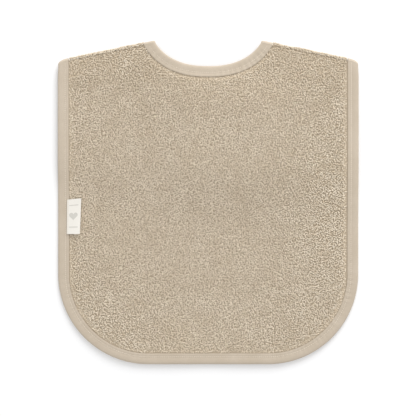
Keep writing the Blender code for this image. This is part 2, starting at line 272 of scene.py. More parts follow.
front_rims = [outer_path(), neck_path()]
left_path = strap_path(overlap_x)
right_path = mirrored(strap_path(0.0))
front_planes = [fold_plane(-1, FOLD_GAP), fold_plane(1, FOLD_GAP)]
left_planes = [front_planes[0], (Vector((peel_x - PEEL_GAP, 0, 0)), Vector((1, 0, 0)))]
tab_planes = [(Vector((peel_x + PEEL_GAP, 0, 0)), Vector((-1, 0, 0)))]
# Each panel's body, edges, cuts, rise over what lies below, and whether it lies face down.
PANELS = {
    "front": ("front", front_rims, front_planes, lift_of_front, False),
    "left_strap": ("left_strap", [left_path], left_planes, lift_of_table, True),
    "left_tab": ("left_tab", [left_path], tab_planes, lift_of_table, True),
    "right_strap": ("right_strap", [right_path], front_planes[1:], lift_of_closure, True),
}


def tuck(x, y):
    """Round off the outer corners of the shoulders, where the fold draws the edge in."""
    side = -1 if x < 0 else 1
    point, out = fold_plane(side)
    depth = (point.xy - Vector((x, y))).dot(out.xy)
    inset = half_width - abs(x)
    if inset > TUCK_WIDTH or depth > TUCK_DEPTH:
        return x, y
    pull = TUCK * (1 - inset / TUCK_WIDTH) ** 2 * (1 - ramp(depth, 0.0, TUCK_DEPTH))
    return x - out.x * pull, y - out.y * pull


def clip(outline, point, out):
    """The part of an outline on the near side of a cutting plane."""
    point, out = point.xy, out.xy
    kept = []
    for here, after in zip(outline, outline[1:] + outline[:1]):
        depth, depth_after = (point - here).dot(out), (point - after).dot(out)
        if depth >= 0:
            kept.append(here)
        if (depth >= 0) != (depth_after >= 0):
            kept.append(here.lerp(after, depth / (depth - depth_after)))
    return kept


def keep(bm, name, mat, body=None, smooth=True):
    """Make the mesh an object, smooth and with its material, and let it ride on its body."""
    mesh = bpy.data.meshes.new(name)
    bm.to_mesh(mesh)
    bm.free()
    if smooth:
        mesh.shade_smooth()
    mesh.materials.append(mat)
    obj = bpy.data.objects.new(name, mesh)
    bpy.context.scene.collection.objects.link(obj)
    if body:
        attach(obj, body)
    return obj


def face_out(bm):
    """Turn the faces of a closed mesh outwards."""
    bmesh.ops.recalc_face_normals(bm, faces=bm.faces[:])
    if bm.calc_volume(signed=True) < 0:
        bmesh.ops.reverse_faces(bm, faces=bm.faces[:])


def layer(name, panel, inset, low, high, cell, mat):
    """One ply of a panel between two heights over the back of the cloth, and its flat size."""
    body, rims, planes, lift, face_down = PANELS[panel]
    outline = [p for rim in rims for p in shift(rim, inset)]
    for point, out in planes:
        outline = clip(outline, point, out)
    bm = bmesh.new()
    bm.faces.new([bm.verts.new((p.x, p.y, 0)) for p in outline])
    bmesh.ops.triangulate(bm, faces=bm.faces[:])
    lo = [min(p[i] for p in outline) for i in range(2)]
    hi = [max(p[i] for p in outline) for i in range(2)]
    area = abs(sum(a.cross(b) for a, b in zip(outline, outline[1:] + outline[:1]))) / 2
    for i, way in enumerate((Vector((1, 0, 0)), Vector((0, 1, 0)))):
        cuts = int((hi[i] - lo[i]) / cell)
        for k in range(1, cuts):
            bmesh.ops.bisect_plane(
                bm, geom=bm.verts[:] + bm.edges[:] + bm.faces[:], dist=1e-5,
                plane_co=way * (lo[i] + (hi[i] - lo[i]) * k / cuts), plane_no=way,
            )
    raised = bmesh.ops.extrude_face_region(bm, geom=bm.faces[:])["geom"]
    upper = {g for g in raised if isinstance(g, bmesh.types.BMVert)}
    for vert in bm.verts:
        height = high if vert in upper else low
        height = cloth - height if face_down else height
        vert.co.z = height + lift(vert.co.x, vert.co.y)
        vert.co.x, vert.co.y = tuck(vert.co.x, vert.co.y)
    face_out(bm)
    return keep(bm, name, mat, body), (hi[0] - lo[0], hi[1] - lo[1]), area


def nodes_of(name, colour, roughness, sheen=0.0):
    """A matt material with its node tree and its shader."""
    mat = bpy.data.materials.new(name)
    mat.use_nodes = True
    tree = mat.node_tree
    shader = tree.nodes["Principled BSDF"]
    shader.inputs["Base Color"].default_value = (*colour, 1)
    shader.inputs["Roughness"].default_value = roughness
    shader.inputs["Specular IOR Level"].default_value = 0.2
    shader.inputs["Sheen Weight"].default_value = sheen
    shader.inputs["Sheen Roughness"].default_value = 0.5
    return mat, tree, shader


def add(tree, kind, **values):
    """A new node, with its inputs and its settings."""
    node = tree.nodes.new(kind)
    for key, value in values.items():
        if key in node.inputs:
            node.inputs[key].default_value = value
        else:
            setattr(node, key, value)
    return node


def noise_at(tree, scale, detail=2.0, stretch=None):
    """Noise on Object coordinates; stretch scales the axes apart."""
    where = add(tree, "ShaderNodeTexCoord")
    grain = add(tree, "ShaderNodeTexNoise", Scale=scale, Detail=detail)
    if stretch:
        mapping = add(tree, "ShaderNodeMapping", Scale=stretch)
        tree.links.new(where.outputs["Object"], mapping.inputs["Vector"])
        tree.links.new(mapping.outputs["Vector"], grain.inputs["Vector"])
    else:
        tree.links.new(where.outputs["Object"], grain.inputs["Vector"])
    return grain.outputs["Fac"]


def blend_colours(tree, factor, low, high, start=0.0, end=1.0):
    """From low to high as the factor goes from start to end."""
    band = add(tree, "ShaderNodeMapRange")
    band.inputs["From Min"].default_value = start
    band.inputs["From Max"].default_value = end
    mix = add(tree, "ShaderNodeMix", data_type="RGBA")
    tree.links.new(factor, band.inputs["Value"])
    tree.links.new(band.outputs["Result"], mix.inputs["Factor"])
    for socket, value in ((mix.inputs[6], low), (mix.inputs[7], high)):
        if isinstance(value, tuple):
            socket.default_value = (*value, 1)
        else:
            tree.links.new(value, socket)
    return mix.outputs[2]


def bump(tree, shader, height, distance, strength=1.0):
    """Fine relief on the surface."""
    node = add(tree, "ShaderNodeBump", Strength=strength, Distance=distance)
    tree.links.new(height, node.inputs["Height"])
    tree.links.new(node.outputs["Normal"], shader.inputs["Normal"])


def knit_material():
    """Plain knitted ground: fine columns of stitches with a soft, matt face."""
    mat, tree, shader = nodes_of("ground_knit", (0.598, 0.503, 0.384), 0.95, 0.1)
    where = add(tree, "ShaderNodeTexCoord")
    wale = add(tree, "ShaderNodeTexWave", Scale=260.0, Distortion=1.2, bands_direction="X")
    course = add(tree, "ShaderNodeTexWave", Scale=330.0, Distortion=1.5, bands_direction="Y")
    both = add(tree, "ShaderNodeMath", operation="MULTIPLY")
    for wave, slot in ((wale, 0), (course, 1)):
        tree.links.new(where.outputs["Object"], wave.inputs["Vector"])
        tree.links.new(wave.outputs["Fac"], both.inputs[slot])
    colour = blend_colours(tree, both.outputs[0], (0.483, 0.392, 0.282), (0.690, 0.597, 0.468))
    tree.links.new(colour, shader.inputs["Base Color"])
    bump(tree, shader, both.outputs[0], 0.0002, 0.8)
    return mat


TAPE_WALL = 0.0005
CLOTH_CELL = 0.005
LINING_LOW = 0.00008
LINING_HIGH = 0.0007
GROUND_LOW = 0.0008
GROUND_DROP = 0.0011
knit_mat = knit_material()
for panel in PANELS:
    for name, node, low, high in (
        ("_terry_ground", "_terry_face", GROUND_LOW, cloth - GROUND_DROP),
        ("_lining", "_backing", LINING_LOW, LINING_HIGH),
    ):
        obj, size, area = layer(panel + name, panel, TAPE_WALL, low, high, CLOTH_CELL, knit_mat)
        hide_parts(panel + node)

# ---------------------------------------------------------------- terry pile
# Uncut loops of cotton yarn stand on the ground of the towelling, about one and a half
# millimetres apart and leaning every way. They cover the front and the outer side of both
# straps, short of the tape, and lie flatter under the label.
LOOP_PITCH = 0.00162
LOOP_REACH = 0.00088
YARN_RADIUS = 0.00046
LOOP_HEIGHT = LOOP_REACH + YARN_RADIUS
LOOP_SUNK = 0.78
LOOPS_IN_A_PIECE = 5500
FULL_HEIGHT_FROM = 0.015
PRESSED_UNDER_LABEL = 0.0004
LOOP_FROM_CUT = 0.0007
LOOP_CLEARANCES = (0.0005, -0.0002)     # past the outer tape, and past the neck tape
LOOP_JITTER = 0.0006
draw = random.Random(7)


def terry_material():
    """Uncut cotton loops: darker roots and paler crowns as painted shade down in the pile, a tone
    that drops toward the shoulders as painted shade, and slow clouding over the cloth.
    """
    mat, tree, shader = nodes_of("terry_loops", (0.781, 0.672, 0.521), 0.95, 0.15)
    depth = add(tree, "ShaderNodeAttribute", attribute_name="crown").outputs["Fac"]
    tone = add(tree, "ShaderNodeAttribute", attribute_name="tone").outputs["Fac"]
    # Painted shade: the yarn darkens from its crown down to its root, where the neighbouring loops
    # shade it.
    crown = blend_colours(tree, depth, (0.575, 0.470, 0.330), (0.875, 0.785, 0.650), 0.0, 0.9)
    # The tone differs at random from loop to loop, and drops toward the shoulders as painted
    # shade.
    toned = blend_colours(tree, tone, (0.665, 0.562, 0.425), crown, -0.6, 0.5)
    cloud = blend_colours(tree, noise_at(tree, 9.0, 3.0), (0.710, 0.606, 0.454), toned, 0.05, 0.45)
    tree.links.new(cloud, shader.inputs["Base Color"])
    fibres = noise_at(tree, 4200.0, 2.0)
    bump(tree, shader, fibres, 0.00012, 0.5)
    return mat


def shape_of(name, bm):
    """A smooth loose object, to plant copies of."""
    mesh = bpy.data.meshes.new(name)
    bm.to_mesh(mesh)
    bm.free()
    mesh.shade_smooth()
    return bpy.data.objects.new(name, mesh)


def bent_yarn(sides, radius, reach, angle):
    """A short thread bent round in an arch, closed at both ends."""
    bm = bmesh.new()
    bmesh.ops.create_circle(
        bm, segments=sides, radius=radius, matrix=Matrix.Translation((-reach, 0, 0))
    )
    bmesh.ops.spin(
        bm, geom=bm.verts[:] + bm.edges[:], cent=(0, 0, 0), axis=(0, 1, 0),
        angle=angle, steps=4, use_merge=False,
    )
    bmesh.ops.holes_fill(bm, edges=bm.edges[:])
    bmesh.ops.recalc_face_normals(bm, faces=bm.faces[:])
    return bm


def loop_shape():
    """One loop: a short arch of yarn standing on its two feet."""
    bm = bent_yarn(4, YARN_RADIUS, LOOP_REACH, math.pi)
    # Height up the loop from root to crown, which the terry material turns into painted shade at
    # the roots.
    crown = bm.verts.layers.float.new("crown")
    for vert in bm.verts:
        vert[crown] = max(vert.co.z, 0.0) / LOOP_HEIGHT
    return shape_of("loop_shape", bm)


def planting_nodes(shape):
    """Put a copy of the shape on every point, turned and sized by the point's own values."""
    tree = bpy.data.node_groups.new("planting", "GeometryNodeTree")
    tree.interface.new_socket("Geometry", in_out="INPUT", socket_type="NodeSocketGeometry")
    tree.interface.new_socket("Geometry", in_out="OUTPUT", socket_type="NodeSocketGeometry")
    start, stop = add(tree, "NodeGroupInput"), add(tree, "NodeGroupOutput")
    planted = add(tree, "GeometryNodeInstanceOnPoints")
    real = add(tree, "GeometryNodeRealizeInstances")
    info = add(tree, "GeometryNodeObjectInfo", Object=shape)
    turn = add(tree, "GeometryNodeInputNamedAttribute", data_type="FLOAT_VECTOR", Name="turn")
    size = add(tree, "GeometryNodeInputNamedAttribute", data_type="FLOAT_VECTOR", Name="size")
    euler = add(tree, "FunctionNodeEulerToRotation")
    for source, target in (
        (start.outputs["Geometry"], planted.inputs["Points"]),
        (info.outputs["Geometry"], planted.inputs["Instance"]),
        (turn.outputs["Attribute"], euler.inputs["Euler"]),
        (euler.outputs["Rotation"], planted.inputs["Rotation"]),
        (size.outputs["Attribute"], planted.inputs["Scale"]),
        (planted.outputs["Instances"], real.inputs["Geometry"]),
        (real.outputs["Geometry"], stop.inputs["Geometry"]),
    ):
        tree.links.new(source, target)
    return tree


def plant(name, shape, spots, mat, body=None):
    """A mesh of the shape at every spot, which is (place, turn, size, tone)."""
    bpy.context.scene.collection.objects.link(shape)
    bm = bmesh.new()
    for place, _, _, _ in spots:
        bm.verts.new(place)
    mesh = bpy.data.meshes.new(name + "_spots")
    bm.to_mesh(mesh)
    bm.free()
    turns = mesh.attributes.new("turn", "FLOAT_VECTOR", "POINT")
    turns.data.foreach_set("vector", [v for spot in spots for v in spot[1]])
    sizes = mesh.attributes.new("size", "FLOAT_VECTOR", "POINT")
    sizes.data.foreach_set("vector", [v for spot in spots for v in spot[2]])
    tones = mesh.attributes.new("tone", "FLOAT", "POINT")
    tones.data.foreach_set("value", [spot[3] for spot in spots])
    holder = bpy.data.objects.new(name + "_spots", mesh)
    bpy.context.scene.collection.objects.link(holder)
    planting = holder.modifiers.new("planting", "NODES")
    planting.node_group = planting_nodes(shape)
    view = bpy.context.evaluated_depsgraph_get()
    grown = bpy.data.meshes.new_from_object(
        holder.evaluated_get(view), preserve_all_data_layers=True, depsgraph=view
    )
    grown.name = name
    for used in ("turn", "size"):
        if used in grown.attributes:
            grown.attributes.remove(grown.attributes[used])
    grown.materials.clear()
    grown.materials.append(mat)
    bpy.data.objects.remove(holder, do_unlink=True)
    bpy.context.scene.collection.objects.unlink(shape)
    obj = bpy.data.objects.new(name, grown)
    bpy.context.scene.collection.objects.link(obj)
    if body:
        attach(obj, body)
    return obj


def loop_spot(place, out):
    """A loop on the cloth at place, standing along out, in the drift of its neighbours, with a
    random tone that drops toward the shoulders as painted shade.
    """
    drift = 3.0 * math.pi * noise.noise(place * 40)
    spin = drift + draw.uniform(-1.2, 1.2)
    lean = draw.gauss(0.35 * noise.noise(place * 90 + Vector((5, 5, 5))), 0.36)
    stand = Vector((0, 0, 1)).rotation_difference(out).to_matrix().to_4x4()
    turned = stand @ Matrix.Rotation(spin, 4, "Z") @ Matrix.Rotation(lean, 4, "X")
    stretch = draw.uniform(0.82, 1.22)
    height = draw.uniform(0.85, 1.15)
    width = draw.uniform(0.85, 1.2)
    patch = noise.noise(place * 120 + Vector((9, 0, 2))) + 0.7 * noise.noise(place * 45)
    # Painted shade: the tone drops toward the shoulders and the neck, standing in for the shade
    # that falls there.
    shoulder_shade = 0.4 * ramp(place.y, 0.06, 0.14)
    return place, turned.to_euler(), (stretch, width, height), draw.gauss(0.45 * patch - shoulder_shade, 0.4)


def inside_of(panel, clearances=LOOP_CLEARANCES):
    """The part of a panel that its tape leaves open, where the loops stand."""
    _, rims, planes, _, _ = PANELS[panel]
    outline = [
        p for rim, clear in zip(rims, clearances) for p in shift(rim, TAPE_WIDTH + clear)
    ]
    for point, out in planes:
        outline = clip(outline, point - out * LOOP_FROM_CUT, out)
    corners = [(p.x, p.y, 0.0) for p in outline]
    return BVHTree.FromPolygons(corners, [tuple(range(len(corners)))]), outline


def stand_on(face, planes, lift, down, x, y):
    """A place on the towelling, which keeps its full height right up to a fold."""
    inner = Vector((x, y, 0))
    for point, out in planes:
        depth = (point - inner).dot(out)
        if depth < FULL_HEIGHT_FROM:
            inner -= out * (FULL_HEIGHT_FROM - depth)
    found = face.ray_cast(inner - down * 0.1, down)[0]
    if found is None:
        return None
    plain_lift = lift_over_straps if lift is lift_of_front else lift
    level = found.z - plain_lift(inner.x, inner.y)
    return Vector((x, y, level + lift(x, y)))


label_low, label_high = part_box("side_label")
terry_mat = terry_material()
loop = loop_shape()
on_cloth = {panel: [] for panel in PANELS}
for panel, (body, _, planes, lift, face_down) in PANELS.items():
    inner, outline = inside_of(panel)
    cad_mesh = frame["nodes"][panel + "_terry_face"].data
    cad_face = BVHTree.FromPolygons(
        [v.co for v in cad_mesh.vertices], [tuple(p.vertices) for p in cad_mesh.polygons]
    )
    down = Vector((0, 0, 1 if face_down else -1))
    x0, x1 = min(p.x for p in outline), max(p.x for p in outline)
    y0, y1 = min(p.y for p in outline), max(p.y for p in outline)
    row_pitch = LOOP_PITCH * math.sqrt(0.75)
    spots = []
    for row in range(int((y1 - y0) / row_pitch)):
        for column in range(int((x1 - x0) / LOOP_PITCH)):
            x = x0 + (column + 0.5 * (row % 2)) * LOOP_PITCH
            x += draw.uniform(-LOOP_JITTER, LOOP_JITTER)
            y = y0 + row * row_pitch + draw.uniform(-LOOP_JITTER, LOOP_JITTER)
            if inner.ray_cast(Vector((x, y, 1)), Vector((0, 0, -1)))[0] is None:
                continue
            place = stand_on(cad_face, planes, lift, down, x, y)
            if place is None:
                continue
            covered = panel == "front" and all(
                label_low[i] - 0.001 < place[i] < label_high[i] + 0.001 for i in range(2)
            )
            if covered:
                place += down * PRESSED_UNDER_LABEL
            spots.append(loop_spot(place + down * LOOP_HEIGHT * LOOP_SUNK, -down))
    for start in range(0, len(spots), LOOPS_IN_A_PIECE):
        part = spots[start:start + LOOPS_IN_A_PIECE]
        name = f"{panel}_terry_pile_{start // LOOPS_IN_A_PIECE + 1}"
        pile = plant(name, loop, part, terry_mat, body)
        on_cloth[panel].append(pile)

# ---------------------------------------------------------------- bias tape
# Cotton tape folded in half over every raw edge and stitched down once. It is a little fuller
# over its middle than at the stitch row, and it puckers where it is eased round a corner.
STITCH_INSET = 0.0072
NECK_STITCH_INSET = 0.0065
STITCH_PITCH = 0.00195
PEEL_REACH = 0.003
FACE_OF_TAPE = 0.0024                   # what lies higher than this is the tape's face
# The folded tape from its outer edge over the face, and back along the underside: how far in
# from the edge, and how far above the back of the cloth.
TAPE_SECTION = (
    (0.0000, 0.0013), (0.00025, 0.0021), (0.0009, 0.00255), (0.0021, 0.00272),
    (0.0040, 0.00274), (0.0058, 0.00268), (0.0072, 0.00258), (0.0086, 0.00268),
    (0.0099, 0.00266), (0.01055, 0.0025), (0.01045, 0.0022), (0.0085, 0.0021),
    (0.0012, 0.0021), (0.0006, 0.0013), (0.0012, 0.0006), (0.0085, 0.0005),
    (0.0104, 0.0004), (0.01055, 0.0002), (0.0100, 0.00003), (0.0055, 0.0),
    (0.0012, 0.00003), (0.0003, 0.0005),
)


def tape_material():
    """Fine plain-woven cotton tape, slightly clouded, with the crossing threads just seen."""
    mat, tree, shader = nodes_of("bias_tape", (0.53, 0.453, 0.36), 0.85, 0.2)
    where = add(tree, "ShaderNodeTexCoord")
    warp = add(tree, "ShaderNodeTexWave", Scale=620.0, Distortion=2.0, bands_direction="X")
    weft = add(tree, "ShaderNodeTexWave", Scale=620.0, Distortion=2.0, bands_direction="Y")
    weave = add(tree, "ShaderNodeMath", operation="ADD")
    for wave, slot in ((warp, 0), (weft, 1)):
        tree.links.new(where.outputs["Object"], wave.inputs["Vector"])
        tree.links.new(wave.outputs["Fac"], weave.inputs[slot])
    base = blend_colours(
        tree, noise_at(tree, 60.0, 3.0), (0.515, 0.437, 0.342), (0.56, 0.48, 0.385), 0.3, 0.7
    )
    fine = blend_colours(tree, noise_at(tree, 1400.0, 2.0), (0.47, 0.395, 0.305), base, 0.2, 0.5)
    tree.links.new(fine, shader.inputs["Base Color"])
    bump(tree, shader, weave.outputs[0], 0.00008, 0.4)
    return mat


tape_mat = tape_material()


def lengths_along(path):
    """Distance along the path at each of its points."""
    travelled = [0.0]
    for a, b in zip(path, path[1:]):
        travelled.append(travelled[-1] + (b - a).length)
    return travelled


def bend_of(path, i):
    """Turn of the path per metre, about a point."""
    if i < 3 or i > len(path) - 4:
        return 0.0
    before, after = path[i] - path[i - 3], path[i + 3] - path[i]
    return abs(before.angle_signed(after, 0.0)) / max(before.length, 1e-6)


def tape_relief(travelled, inset, bend, stitch_inset):
    """How far the tape's face stands off its plain section."""
    seat = math.exp(-((inset - stitch_inset) / 0.0009) ** 2)
    tug = 0.6 + 0.4 * math.cos(2 * math.pi * travelled / STITCH_PITCH)
    wander = noise.noise(Vector((travelled * 90, 0, 3)))
    pucker = math.sin(2 * math.pi * travelled / 0.0047 + 2.5 * wander)
    eased = ramp(inset, 0.002, 0.006) * ramp(bend, 4.0, 10.0)
    slack = noise.noise(Vector((travelled * 70, inset * 260, 1.5)))
    long_ridge = noise.noise(Vector((travelled * 12, inset * 900, 8.5)))
    return (
        -0.00034 * seat * tug + 0.00020 * pucker * eased
        + 0.00009 * slack + 0.00006 * long_ridge
    )


def swept_tape(name, panel, path, stitch_inset, planes, shrink=0.0):
    """Tape along the edge of a panel, cut off at the planes; shrink keeps it inside the rest."""
    _, _, _, lift, face_down = PANELS[panel]
    travelled = lengths_along(path)
    sides = [shift(path, inset) for inset, _ in TAPE_SECTION]
    bm = bmesh.new()
    face = bm.faces.new([bm.verts.new((0, 0, k)) for k in range(len(TAPE_SECTION))])
    for i in range(len(path)):
        if i:
            face = bmesh.ops.extrude_discrete_faces(bm, faces=[face])["faces"][0]
        ahead = (path[min(i + 1, len(path) - 1)] - path[max(i - 1, 0)]).normalized()
        inward = Vector((-ahead.y, ahead.x))
        near_cut = min(abs((path[i] - point.xy).dot(out.xy)) for point, out in planes)
        free = ramp(near_cut, 0.0, 0.005)
        for k, vert in enumerate(face.verts):
            inset, height = TAPE_SECTION[k]
            if height > FACE_OF_TAPE:
                relief = tape_relief(travelled[i], inset, bend_of(path, i), stitch_inset)
                height += relief * free
            wander = 0.00014 * noise.noise(Vector((travelled[i] * 35, 4.0, 0)))
            side = sides[k][i] + inward * (wander * free if inset > 0.008 else shrink)
            height = shrink + height * (1 - 2 * shrink / cloth)
            vert.co = (side.x, side.y, height)
    bmesh.ops.holes_fill(bm, edges=[e for e in bm.edges if e.is_boundary])
    for point, out in planes:
        bmesh.ops.bisect_plane(
            bm, geom=bm.verts[:] + bm.edges[:] + bm.faces[:], dist=1e-7,
            plane_co=point, plane_no=out, clear_outer=True,
        )
        bmesh.ops.holes_fill(bm, edges=[e for e in bm.edges if e.is_boundary])
    for vert in bm.verts:
        height = cloth - vert.co.z if face_down else vert.co.z
        vert.co.z = height + lift(vert.co.x, vert.co.y)
        vert.co.x, vert.co.y = tuck(vert.co.x, vert.co.y)
    face_out(bm)
    obj = keep(bm, name, tape_mat)
    obj.data.set_sharp_from_angle(angle=math.radians(60))
    on_cloth[panel].append(obj)
    return obj


past_peel = [i for i, p in enumerate(left_path) if p.x > peel_x + 0.004]
tape_runs = (
    ("outer_edge", "front", front_rims[0], "outer_edge_binding", STITCH_INSET),
    ("neck_edge", "front", front_rims[1], "neck_edge_binding", NECK_STITCH_INSET),
    ("left_strap_outer", "left_strap", left_path[:past_peel[0]], "left_strap_outer_binding",
     STITCH_INSET),
    ("left_strap_neck", "left_strap", left_path[past_peel[-1]:], "left_strap_neck_binding",
     STITCH_INSET),
    ("left_tab", "left_tab", left_path, "left_tab_binding", STITCH_INSET),
    ("right_strap", "right_strap", right_path, "right_strap_binding", STITCH_INSET),
)
for name, panel, path, node, inset in tape_runs:
    body, _, planes, _, _ = PANELS[panel]
    obj = swept_tape(name + "_tape", panel, path, inset, planes)
    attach(obj, body)
    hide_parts(node)

# ---------------------------------------------------------------- stitching
# One row of lockstitch in sewing thread holds each run of tape. The same row shows on both
# sides of the cloth, each stitch sunk a little into the tape.
STITCH_LENGTH = 0.0015
THREAD_RADIUS = 0.0003
STITCH_HEIGHTS = (0.00244, 0.00008)


def thread_material():
    """Twisted sewing thread, a little paler than the tape."""
    mat, tree, shader = nodes_of("sewing_thread", (0.74, 0.66, 0.55), 0.6, 0.2)
    twist = add(tree, "ShaderNodeTexWave", Scale=900.0, Distortion=0.5, bands_direction="DIAGONAL")
    where = add(tree, "ShaderNodeTexCoord")
    tree.links.new(where.outputs["Object"], twist.inputs["Vector"])
    colour = blend_colours(tree, twist.outputs["Fac"], (0.66, 0.58, 0.47), (0.80, 0.73, 0.62))
    tree.links.new(colour, shader.inputs["Base Color"])
    return mat


def stitch_shape():
    """One stitch: a short bead of thread along X."""
    bm = bmesh.new()
    bmesh.ops.create_uvsphere(bm, u_segments=6, v_segments=5, radius=1.0)
    bmesh.ops.rotate(bm, verts=bm.verts, matrix=Matrix.Rotation(math.pi / 2, 3, "Y"))
    bmesh.ops.scale(bm, verts=bm.verts, vec=(STITCH_LENGTH / 2, THREAD_RADIUS, THREAD_RADIUS))
    return shape_of("stitch_shape", bm)


thread_mat = thread_material()
stitch = stitch_shape()


def stitch_spots(row, height_of, planes=()):
    """Stitches along a row of points, at the heights that height_of gives for a place."""
    travelled = lengths_along(row)
    spots = []
    i = 0
    for k in range(int(travelled[-1] / STITCH_PITCH)):
        want = (k + 0.5) * STITCH_PITCH
        while travelled[i + 1] < want:
            i += 1
        a, b = row[i], row[i + 1]
        place = a.lerp(b, (want - travelled[i]) / (travelled[i + 1] - travelled[i]))
        if any((place - point.xy).dot(out.xy) > -STITCH_LENGTH / 2 for point, out in planes):
            continue
        heading = math.atan2(b.y - a.y, b.x - a.x) + draw.gauss(0, 0.05)
        for z in height_of(place):
            where = Vector((place.x, place.y, z))
            spots.append((where, (0.0, 0.0, heading), (1.0, 1.0, 1.0), draw.gauss(0, 0.3)))
    return spots


rows_in_cad = {"outer_edge": "outer_binding_stitching", "neck_edge": "neck_binding_stitching"}
for name, panel, path, _, inset in tape_runs:
    body, _, planes, lift, face_down = PANELS[panel]
    spots = stitch_spots(
        shift(path, inset),
        lambda p: [lift(p.x, p.y) + (cloth - h if face_down else h) for h in STITCH_HEIGHTS],
        planes,
    )
    obj = plant(name + "_stitches", stitch, spots, thread_mat, body)
    on_cloth[panel].append(obj)
    if name in rows_in_cad:
        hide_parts(rows_in_cad[name])

# ---------------------------------------------------------------- shoulder folds
# The cloth turns back under itself along each shoulder in a soft roll about five millimetres
# across: the ground, the loops on it, and the tape at either end.
ROLL_STEPS = 14
ROLL_RADIUS = fold_z
ROLL_ROWS = 6
ROLL_LOW = 0.0002
ROLL_LOOP_SUNK = 0.75


def fold_frame(side):
    """A shoulder fold's neck end on its axis, the way out over it, and the way along it."""
    point, out = fold_plane(side)
    return Vector((point.x, point.y, fold_z)), out, Vector((out.y, -out.x, 0))


def crossing(path, side):
    """Where a path meets a shoulder fold, as a distance from the neck point along the fold."""
    point, out, along = fold_frame(side)
    for a, b in zip(path, path[1:]):
        depth, depth_after = (point.xy - a).dot(out.xy), (point.xy - b).dot(out.xy)
        if (depth >= 0) != (depth_after >= 0):
            where = a.lerp(b, depth / (depth - depth_after))
            if where.x * side > 0:
                return (where - point.xy).dot(along.xy)


def rolled(name, side, profile, mat):
    """A closed profile of (distance along the fold, height over its axis) turned half round."""
    centre, _, along = fold_frame(side)
    bm = bmesh.new()
    face = bm.faces.new([bm.verts.new(centre + along * t + Vector((0, 0, r))) for t, r in profile])
    bmesh.ops.spin(
        bm, geom=[face] + face.edges[:] + face.verts[:], cent=centre, axis=-along,
        angle=math.pi, steps=ROLL_STEPS,
    )
    bmesh.ops.remove_doubles(bm, verts=bm.verts, dist=1e-7)
    for vert in bm.verts:
        vert.co.x, vert.co.y = tuck(vert.co.x, vert.co.y)
    face_out(bm)
    obj = keep(bm, name, mat)
    obj.data.set_sharp_from_angle(angle=math.radians(60))
    return obj


for side, word in ((-1, "left"), (1, "right")):
    centre, out, along = fold_frame(side)
    rise = ROLL_RADIUS - cloth
    rolls = []
    for run, path in (("outer", front_rims[0]), ("neck", front_rims[1])):
        profile = [
            (crossing(shift(path, inset), side), height + rise) for inset, height in TAPE_SECTION
        ]
        rolls.append(rolled(f"{word}_fold_{run}_tape", side, profile, tape_mat))
    ends = sorted(crossing(shift(path, TAPE_WALL), side) for path in front_rims)
    low, high = rise + ROLL_LOW, rise + cloth - GROUND_DROP
    profile = [(ends[0], low), (ends[1], low), (ends[1], high), (ends[0], high)]
    rolls.append(rolled(f"{word}_fold_ground", side, profile, knit_mat))
    ends = sorted(
        crossing(shift(path, TAPE_WIDTH + clear), side)
        for path, clear in zip(front_rims, LOOP_CLEARANCES)
    )
    spots = []
    for row in range(ROLL_ROWS):
        for column in range(int((ends[1] - ends[0]) / LOOP_PITCH)):
            turn = math.pi * (row + 0.5 + draw.uniform(-0.3, 0.3)) / ROLL_ROWS
            t = ends[0] + (column + 0.5 + 0.5 * (row % 2) + draw.uniform(-0.3, 0.3)) * LOOP_PITCH
            if t > ends[1]:
                continue
            radial = math.cos(turn) * Vector((0, 0, 1)) + math.sin(turn) * out
            puff = 0.0004 + 0.0009 * noise.noise(Vector((t * 60, side, 0)))
            foot = ROLL_RADIUS - LOOP_HEIGHT * ROLL_LOOP_SUNK + puff * math.sin(turn)
            spots.append(loop_spot(centre + along * t + radial * foot, radial))
    pile = plant(f"{word}_fold_pile", loop, spots, terry_mat)
    rolls.append(pile)
    for roll in rolls:
        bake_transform(roll)
        on_cloth["front"].append(roll)

# ---------------------------------------------------------------- peeling end
# Where the end of the left strap peels away from the rest, the cloth and its tape bend round
# in one piece. Short lengths inside the cloth span the cut there.
PEEL_CELL = 0.0005
PEEL_SHRINK = 0.0001
peel_paths = {"outer": left_path[:past_peel[0] + 4], "neck": left_path[past_peel[-1] - 4:]}
for name, path in peel_paths.items():
    near = [p for p in path if abs(p.x - peel_x) < 2 * PEEL_REACH]
    fine = joined(*(line(a, b, PEEL_CELL) for a, b in zip(near, near[1:])))
    ends = [
        (Vector((peel_x + way * PEEL_REACH, 0, 0)), Vector((way, 0, 0))) for way in (-1, 1)
    ]
    obj = swept_tape(f"peel_{name}_tape", "left_strap", fine, STITCH_INSET, ends, PEEL_SHRINK)
    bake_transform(obj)
bm = bmesh.new()
bmesh.ops.create_grid(
    bm, x_segments=12, y_segments=2, size=0.5,
    matrix=Matrix.Translation((peel_x, (strap_y + back_neck_y) / 2, 0))
    @ Matrix.Diagonal((2 * PEEL_REACH, back_neck_y - strap_y - 0.002, 1, 1)),
)
raised = bmesh.ops.extrude_face_region(bm, geom=bm.faces[:])["geom"]
upper = {g for g in raised if isinstance(g, bmesh.types.BMVert)}
for vert in bm.verts:
    vert.co.z = cloth - 2 * PEEL_SHRINK if vert in upper else GROUND_DROP + PEEL_SHRINK
bmesh.ops.recalc_face_normals(bm, faces=bm.faces[:])
peel_cloth = keep(bm, "peel_cloth", knit_mat)
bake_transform(peel_cloth)
on_cloth["left_strap"].append(peel_cloth)

# ---------------------------------------------------------------- hook and loop closure
# Two woven nylon patches close the neck: stiff hooks on the lining of the left strap's end,
# soft loops on the towelling of the right one. Each is sewn on round its edge.
PATCH_BASE = 0.00022
PATCH_BEVEL = 0.0018
PATCH_MARGIN = 0.0022
PATCH_STITCH_INSET = 0.0012
HOOK_PITCH = 0.0014
HOOK_REACH = 0.0002
HOOK_BEND = math.radians(150)
BRISTLE_RADIUS = 0.00009
FUZZ_PITCH = 0.0012
FUZZ_SIZE = 0.3                         # of a loop of the towelling


def patch_material(name, colour, roughness):
    """Nylon tape with a fine grain."""
    mat, tree, shader = nodes_of(name, colour, roughness, 0.1)
    bump(tree, shader, noise_at(tree, 1600.0, 2.0), 0.0001, 0.5)
    return mat


